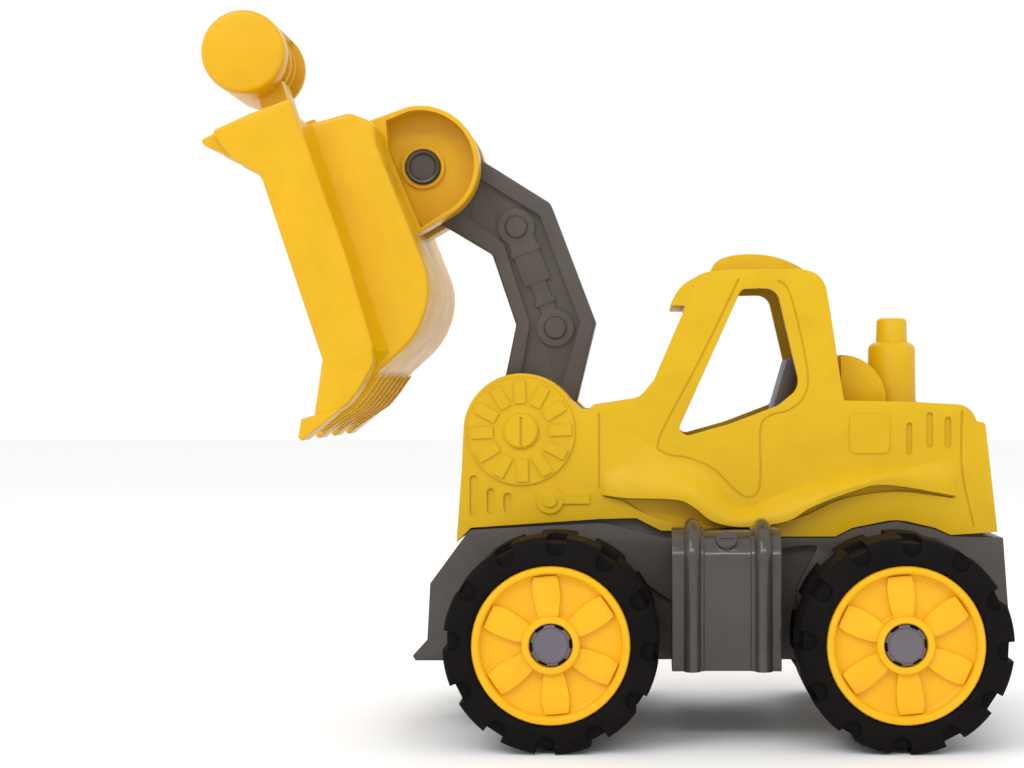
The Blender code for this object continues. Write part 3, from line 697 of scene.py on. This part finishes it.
def rib(side, x, half, height, section):
    """A half-round rib that climbs the section's outer side and goes over its roll."""
    sunk = -1.0
    path = [Vector(point) for point in section]
    mesh = bmesh.new()
    rings = []
    for index, point in enumerate(path):
        along = (path[min(len(path) - 1, index + 1)] - path[max(0, index - 1)]).normalized()
        outward = Vector((along.y, -along.x))
        places = [(x - half, sunk)]
        places += [(x - half * math.cos(angle), height * math.sin(angle))
                   for angle in (math.pi * step / 10 for step in range(11))]
        places.append((x + half, sunk))
        spots = [(across, point + outward * lift) for across, lift in places]
        rings.append([mesh.verts.new((across * MM, side * spot.x * MM, spot.y * MM))
                      for across, spot in spots])
    skin(mesh, rings)
    mesh.faces.new(rings[0])
    mesh.faces.new(reversed(rings[-1]))
    return closed(mesh)


def tilted(mesh, place, tilt_deg):
    """Turns a mesh made at the origin about X and moves it to its place."""
    turn = Matrix.Translation(Vector(place) * MM) @ Matrix.Rotation(math.radians(tilt_deg), 4, "X")
    bmesh.ops.transform(mesh, matrix=turn, verts=mesh.verts)
    return mesh


def build_step(side, node):
    """The side block: two columns with a half-round rib each, and a sunk glossy panel with a slotted boss."""
    face, top, sunk = 53.0, 71.0, 0.9
    panel = step_section(face - sunk, top - sunk)
    column = step_section(face, top)
    block = made(f"{node}_block", beam(panel, side, 26.0, 57.0))
    for x0, x1 in ((23.4, 34.0), (49.6, 59.6)):
        join(block, beam(column, side, x0, x1))
    boss = (41.6, side * 49.0, 67.0)
    lean = side * 45
    join(block, tilted(disc((0.0, 0.0), 3.5, -side * 2.0, side * 1.2, steps=40), boss, lean))
    slot = prism(box_outline(-2.5, 2.5, -0.45, 0.45), side * 0.6, side * 3.0)
    cut(block, tilted(slot, boss, lean))
    bake(block)
    soften(block, 0.9, 3)
    outer = column[1:-2]
    for x, half in ((30.2, 2.8), (53.7, 2.9)):
        join(block, rib(side, x, half, 3.0, outer))
    finish(block, STEP_GREY, "root", [node])


# Boom

def boom_outline():
    back = [(-9.5, 114.0), (-3.0, 141.0, 2), (-19.0, 183.0, 3), (-43.0, 198.0)]
    front = [(-54.5, 174.0), (-39.5, 165.0, 3), (-31.0, 140.0, 2), (-34.5, 123.0)]
    lobe = arc(BUCKET_PIVOT, 20.2, 20, 285, 64)
    hub = arc(BOOM_PIVOT, 17.0, 120, 380, 48)
    return rounded(back + lobe + front + hub, 5)


def boom_recess():
    back = [(-15.6, 116.0), (-8.4, 141.0, 1), (-22.6, 178.6, 2), (-44.0, 191.8)]
    front = [(-47.5, 177.5), (-35.6, 168.9, 2), (-26.2, 140.6, 1), (-29.6, 121.0)]
    return rounded(back + front, 5)


BOSSES = [(-31.0, 174.6), (-17.2, 139.0)]


def build_boom():
    """Two shells, each with a sunk panel that holds two bosses and a stepped bar from one to the other."""
    recess = 2.2
    upper, lower = (Vector(boss) for boss in BOSSES)
    along = (lower - upper).normalized()
    for node, side in (("boom_left_shell", -1), ("boom_right_shell", 1)):
        face = side * BOOM_FACE
        floor = face - side * 3.0
        shell = made(f"{node}_skin", eased(prism(boom_outline(), side * 0.15, face), 0.8))
        cut(shell, prism(boom_recess(), face - side * recess, face + side * 2))
        join(shell, bar(upper, upper + along * 21.0, 4.7, floor, face - side * 0.9, False))
        join(shell, bar(upper + along * 20.0, lower, 2.7, floor, face - side * 1.1, False))
        for place, half in ((9.0, 5.4), (28.0, 3.6)):
            spot = upper + along * place
            join(shell, bar(spot - along * 1.0, spot + along * 1.0, half, floor, face - side * 0.6, False))
        for boss in (upper, lower):
            join(shell, disc(boss, 6.5, floor, face - side * 0.9))
        for centre, radius in ((BOOM_PIVOT, BOOM_BORE), (BUCKET_PIVOT, BUCKET_BORE)):
            cut(shell, disc(centre, radius, -20, 20))
        for boss in (upper, lower):
            room = [(0, -20), (4.0, -20), (4.0, -5.3), (1.7, -5.3), (1.7, 4.6), (0, 4.6)]
            cut(shell, turned(room, boss, steps=40))
        finish(shell, GREY, "boom", [node], bevel=0.45)
    for index, boss in enumerate(BOSSES, 1):
        profile = [(0, -7.0), (3.3, -7.0), (3.9, -6.5), (3.9, -5.4), (1.4, -5.4), (1.4, 4.0), (0, 4.0)]
        plug = made(f"boss_plug_{index}", turned(profile, boss, steps=48))
        finish(plug, GREY, "boom", [f"boom_screw_{index}"])


# Bucket

def frame_outline():
    """The toothed frame of the mouth, seen from the side."""
    top = [(-120.5, 193.0, 1), (-124.5, 197.6), (-127.2, 201.9, 1.2), (-114.5, 207.7), (-101.5, 212.5, 1)]
    back = [(-83.5, 162.0), (-74.5, 132.0, 6), (-74.3, 125.5, 4), (-79.0, 117.0), (-82.5, 112.5)]
    bottom = [(-96.6, 102.0), (-93.5, 109.5), (-91.0, 127.0, 3), (-111.0, 187.0, 5)]
    return rounded(top + back + bottom)


def bowl_outline():
    top = [(-102.0, 204.5), (-84.0, 209.5, 5), (-76.0, 206.5, 4), (-75.0, 198.5, 4)]
    back = [(-62.5, 167.5, 30), (-56.8, 153.5, 24), (-58.8, 141.0, 28), (-64.0, 132.5, 28),
            (-75.0, 122.5, 20)]
    return rounded(top + back + [(-84.0, 113.5), (-92.0, 112.0), (-91.0, 127.0), (-111.0, 187.0)])


def bowl_hollow():
    top = [(-104.0, 201.5), (-85.5, 206.3, 3), (-79.2, 204.3, 3), (-77.9, 197.5)]
    back = [(-65.4, 166.5), (-60.0, 153.3, 22), (-61.8, 142.4, 24), (-66.3, 134.6, 20), (-77.0, 124.9),
            (-88.0, 115.5)]
    return rounded(top + back + [(-108.0, 120.0), (-128.0, 185.0)])


def frame_hollow():
    top = [(-130.0, 190.0), (-113.0, 200.5), (-104.4, 204.0)]
    return top + [(-87.3, 160.0), (-78.5, 131.0), (-79.0, 124.0), (-92.5, 110.5), (-108.0, 120.0)]


TOP_TOOTH = [(-120.0, 192.8), (-130.6, 197.6), (-131.4, 199.4), (-127.0, 201.6), (-116.5, 206.6)]
BOTTOM_TOOTH = [(-93.0, 109.0), (-97.8, 107.6), (-98.8, 101.4), (-97.6, 100.4), (-84.0, 111.6)]
LIP_RIB = [(-73.5, 122.5), (-78.0, 116.0), (-82.0, 111.2), (-95.5, 102.2), (-94.0, 106.0), (-80.0, 119.5)]
EAR_OUT = 19.5


def ear_outline():
    """The round lug beside the boom's end; its straight edges run into the wall of the bowl."""
    in_the_wall = [(-84.0, 209.3), (-83.4, 208.0), (-77.6, 205.2), (-76.3, 198.0), (-65.3, 170.6)]
    return arc(BUCKET_PIVOT, 20.3, -63, 103, 48) + in_the_wall


def dish_outline():
    """The dish in the lug, which stops short of the wall of the bowl."""
    return arc(BUCKET_PIVOT, 18.7, -63, 103, 48) + [(-75.2, 210.4), (-74.4, 199.6), (-63.2, 173.2)]


def bucket_block():
    """The mouth frame and the bowl with the sloping strips between them, hollowed from the front."""
    bucket = made("bucket_skin", eased(prism(frame_outline(), -BUCKET_HALF, BUCKET_HALF), 1.1))
    strip = [(-101.0, 204.4), (-95.5, 205.8), (-82.5, 167.5), (-69.5, 130.0), (-76.0, 121.0), (-84.0, 150.0)]
    shallow = [(-106.0, 203.0), (-100.3, 203.2), (-88.5, 167.5), (-76.5, 130.0), (-80.0, 124.0),
               (-90.0, 150.0)]
    for side in (-1, 1):
        join(bucket, loft(shallow, side * 56.5, strip, side * 44.0))
    join(bucket, eased(prism(bowl_outline(), -BOWL_HALF, BOWL_HALF), 1.5, 4))
    cheek = BUCKET_HALF - 4
    cut(bucket, prism(frame_hollow(), -cheek, cheek))
    cut(bucket, prism(bowl_hollow(), -(BOWL_HALF - WALL), BOWL_HALF - WALL))
    top_room = [(-113.0, 216.0), (-113.0, 208.4), (-104.5, 207.2), (-97.0, 206.8), (-90.0, 216.0)]
    stem_room = [(-108.8, 216.0), (-108.8, 207.8), (-97.0, 206.8), (-90.0, 216.0)]
    stem_half = 8.5
    for side in (-1, 1):
        cut(bucket, prism(top_room, side * stem_half, side * cheek))
    cut(bucket, prism(stem_room, -stem_half, stem_half))
    return bucket


def add_boom_pocket(bucket):
    """The pocket in the bowl's back that the boom's end turns in."""
    pocket, room = 11.6, 8
    join(bucket, prism(arc(BUCKET_PIVOT, 22.8, 152, 246, 24), -pocket, pocket))
    web = [(-91.0, 206.0), (-84.4, 208.4), (-78.5, 206.6), (-77.0, 196.0), (-86.5, 198.0)]
    join(bucket, prism(web, -pocket, pocket))
    cut(bucket, disc(BUCKET_PIVOT, 21.0, -room, room, steps=96))
    cut(bucket, prism([(-82.4, 203.1), (-96.4, 230.7), (-71.7, 242.6), (-66.9, 212.0)], -room, room))


def add_teeth(bucket):
    """The teeth of both lips, and the ribs under the lower one."""
    for index in range(TEETH):
        y = (index - (TEETH - 1) / 2) * 31.5
        join(bucket, eased(prism(TOP_TOOTH, y - 7.0, y + 7.0), 0.5, 2))
        y = (index - (TEETH - 1) / 2) * 34.0
        join(bucket, eased(prism(BOTTOM_TOOTH, y - 7.5, y + 7.5), 0.5, 2))
    for y in range(-42, 43, 12):
        join(bucket, prism(LIP_RIB, y - 0.8, y + 0.8))


def build_bucket():
    bucket = bucket_block()
    add_boom_pocket(bucket)
    for side in (-1, 1):
        join(bucket, eased(prism(ear_outline(), side * 8, side * EAR_OUT), 0.5))
    add_teeth(bucket)
    for side in (-1, 1):
        cut(bucket, prism(dish_outline(), side * 9.1, side * 40))
        ring = [(6.35, side * 8.6), (7.5, side * 8.6), (7.5, side * 10.4), (6.35, side * 10.4)]
        join(bucket, turned(ring, BUCKET_PIVOT, ring=True))
    cut(bucket, disc(BUCKET_PIVOT, BUCKET_BORE, -30, 30))
    finish(bucket, BUCKET_YELLOW, "bucket", ["bucket_shell"])


def build_bucket_pin():
    """A pin with a dished round head at each end."""
    half = [(0, 10.6), (4.2, 10.6), (4.6, 11.5), (5.0, 11.8), (5.6, 11.8), (6.1, 11.3)]
    half += [(6.1, 9.4), (4.4, 9.3)]
    profile = [(radius, -along) for radius, along in half] + half[::-1]
    pin = made("bucket_pin", turned(profile, BUCKET_PIVOT))
    finish(pin, PIN_GREY, "bucket_pin", ["bucket_pivot_pin"])


def build_grip():
    """The knob, hollowed from behind in four ribbed cells, on a stem that runs into the mouth frame."""
    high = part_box("bucket_grip")[1]
    centre = (-124.3, 233.9)
    edge = 1.8
    half = high.y / MM
    quarter = [(KNOB_RADIUS - edge + edge * math.sin(angle), half - edge + edge * math.cos(angle))
               for angle in (math.pi / 2 * step / 5 for step in range(6))]
    profile = [(0, -half)] + [(r, -y) for r, y in quarter] + [(r, y) for r, y in quarter[::-1]] + [(0, half)]
    grip = made("grip_knob", turned(profile, centre, steps=96))
    cut(grip, prism(arc(centre, 16.0, -52, 46, 24) + arc(centre, 12.4, 46, -52, 24), -15.0, 18.5))
    for y0, y1 in ((-14.0, -7.6), (-5.4, 1.2), (3.4, 10.0), (12.0, 17.6)):
        cut(grip, prism(arc(centre, 13.0, -48, 38, 24) + arc(centre, 9.0, 38, -48, 16), y0, y1))
    stem = [(-123.5, 226.0), (-116.6, 204.9), (-106.9, 206.2), (-113.5, 226.0)]
    join(grip, prism(stem, -8.25, 8.25))
    finish(grip, BUCKET_YELLOW, "bucket", ["bucket_grip"], bevel=0.35)


# Wheels

def build_tyre(name, centre, side, body):
    """Round shoulders, and two staggered rows of notches that bite into the outer shoulder."""
    bead = 25.95
    into, out = TYRE_INNER, TYRE_OUTER
    profile = [(bead, into), (33.0, into), (34.4, into + 0.8), (TYRE_RADIUS, into + 3.2)]
    profile += [(TYRE_RADIUS, out - 3.2), (34.8, out - 1.4), (34.2, out - 0.5), (33.2, out)]
    profile += [(27.4, out), (26.4, out - 0.5), (bead, out - 1.2)]
    skin_mesh = turned([(r, side * y) for r, y in profile], centre, steps=120, ring=True)
    tyre = made(f"{name}_tyre_skin", skin_mesh)
    hub = Vector(centre)
    outer_row = (52.5, 74.0, 0.0, 32.9, 37.0, 3.2, False)
    inner_row = (29.0, 50.5, 15.0, 32.9, 37.0, 3.2, False)
    shoulder_row = (69.3, 74.0, 0.0, 31.9, 34.0, 3.1, True)
    for y0, y1, phase, low, high, half, round_ends in (outer_row, inner_row, shoulder_row):
        cutters = []
        for index in range(NOTCHES):
            outward = toward(-3 + phase + 360 / NOTCHES * index)
            start, end = hub + outward * low, hub + outward * high
            cutters.append(bar(start, end, half, side * y0, side * y1, round_ends))
        cut(tyre, together(cutters))
    finish(tyre, TYRE_BLACK, body, [f"{name}_tyre"], bevel=0.35, segments=2)


def build_rim(name, centre, side, body):
    """A dished rim with a raised hub and spokes that narrow towards their faces."""
    face = RIM_FACE
    profile = [(2.9, 32.5), (25.0, 32.5), (25.6, 33.2), (25.6, face - 0.5), (25.2, face), (23.8, face)]
    profile += [(23.2, face - 0.5), (22.6, face - 3.2), (21.8, face - 3.8), (10.2, face - 4.2)]
    profile += [(9.5, face - 3.6), (9.4, face - 0.9), (9.0, face - 0.5), (7.5, face - 0.5)]
    profile += [(7.1, face - 0.9), (7.0, face - 4.0), (2.9, face - 4.0)]
    skin_mesh = turned([(r, side * y) for r, y in profile], centre, steps=96, ring=True)
    rim = made(f"{name}_rim_skin", skin_mesh)
    hub = Vector(centre)
    half = [(9.0, 3.5), (12.0, 4.3), (16.0, 4.9), (19.5, 4.9), (22.2, 4.2)]
    corners = [(reach, -sway) for reach, sway in half] + half[::-1]
    narrowing = 0.88
    for index in range(SPOKES):
        outward = toward(35 + 360 / SPOKES * index)
        across = Vector((-outward.y, outward.x))
        low = [tuple(hub + outward * reach + across * sway) for reach, sway in corners]
        high = [tuple(hub + outward * reach + across * sway * narrowing) for reach, sway in corners]
        join(rim, loft(low, side * (face - 5.4), high, side * (face - 2.1)))
    finish(rim, RIM_YELLOW, body, [f"{name}_rim"], bevel=0.4)


def build_cap(name, centre, side, body):
    """The cap over the axle's end: a flange cut by slots, over a near-black ring of painted shade that darkens
    the floor seen through the slots.
    """
    face = RIM_FACE
    profile = [(0, face - 3.5), (6.85, face - 3.5), (6.85, face - 1.8), (6.4, face - 1.4), (5.7, face - 1.3)]
    profile += [(5.4, face - 0.8), (0, face - 0.7)]
    cap = made(f"{name}_cap", turned([(r, side * y) for r, y in profile], centre, steps=64))
    hub = Vector(centre)
    gaps = []
    for index in range(CAP_SLOTS):
        outward = toward(5 + 360 / CAP_SLOTS * index)
        start, end = hub + outward * 5.9, hub + outward * 8.0
        gaps.append(bar(start, end, 1.5, side * (face - 5.0), side * face, False))
    cut(cap, together(gaps))
    finish(cap, CAP_GREY, body, [f"{name}_hub_cap"])
    # A near-black ring under the flange where the rim's floor shows through the slots: painted shade, as no
    # such part lies there.
    slot_shade_profile = [(5.2, face - 3.95), (6.9, face - 3.95), (6.9, face - 3.6), (5.2, face - 3.6)]
    ring = made(f"{name}_cap_slot_shade", turned([(r, side * y) for r, y in slot_shade_profile], centre, steps=64, ring=True))
    finish(ring, CAP_SLOT_SHADE, body)


def build_wheels():
    for name in ("front_left", "front_right", "rear_left", "rear_right"):
        side = -1 if name.endswith("left") else 1
        centre = joint_place(f"{name}_roll")
        body = f"{name}_wheel"
        build_tyre(name, centre, side, body)
        build_rim(name, centre, side, body)
        build_cap(name, centre, side, body)


# Stage, light and camera

def build_stage():
    mesh = bmesh.new()
    bmesh.ops.create_grid(mesh, x_segments=1, y_segments=1, size=4.0)
    floor = made("floor", mesh)
    material = bpy.data.materials.new("pale_floor")
    material.use_nodes = True
    shader = material.node_tree.nodes["Principled BSDF"]
    shader.inputs["Base Color"].default_value = (0.95, 0.95, 0.95, 1.0)
    shader.inputs["Roughness"].default_value = 0.9
    floor.data.materials.append(material)
    world = bpy.data.worlds.new("studio")
    world.use_nodes = True
    world.node_tree.nodes["Background"].inputs["Color"].default_value = (1.0, 1.0, 1.0, 1.0)
    world.node_tree.nodes["Background"].inputs["Strength"].default_value = 1.0
    bpy.context.scene.world = world


def area_light(name, place, target, size, watts):
    """A rectangular light of size (x, y) in metres that faces its target."""
    light = bpy.data.lights.new(name, "AREA")
    light.shape = "RECTANGLE"
    light.size = size[0]
    light.size_y = size[1]
    light.energy = watts
    thing = bpy.data.objects.new(name, light)
    thing.location = place
    thing.rotation_euler = (Vector(target) - Vector(place)).to_track_quat("-Z", "Y").to_euler()
    bpy.context.scene.collection.objects.link(thing)


def build_light():
    middle = (0.0, 0.0, 0.1)
    area_light("key", (-0.55, -0.75, 0.95), middle, (0.6, 0.6), 3.2)
    area_light("strip", (0.0, -0.95, 0.80), middle, (1.3, 0.05), 2.6)
    area_light("rim", (0.2, 0.8, 0.9), middle, (0.6, 0.6), 2.0)


def build_camera():
    """Level and square to the toy's left side, with the view shifted instead of turned.

    The Standard view keeps the saturated yellow of the plastics.
    """
    data = bpy.data.cameras.new("camera")
    data.sensor_width = 36.0
    data.lens = 70.3
    data.shift_x = -0.1348
    data.shift_y = 0.0059
    camera = bpy.data.objects.new("camera", data)
    camera.location = (0.0162, -0.7115, 0.1171)
    camera.rotation_euler = (math.radians(90), 0, 0)
    bpy.context.scene.collection.objects.link(camera)
    bpy.context.scene.camera = camera
    bpy.context.scene.view_settings.view_transform = "Standard"


build_stage()
build_light()
build_camera()
build_body()
build_boom_pin()
build_rear_deck()
build_chassis()
build_seat()
build_axles()
build_step(-1, "side_step_left")
build_step(1, "side_step_right")
build_boom()
build_bucket()
build_bucket_pin()
build_grip()
build_wheels()
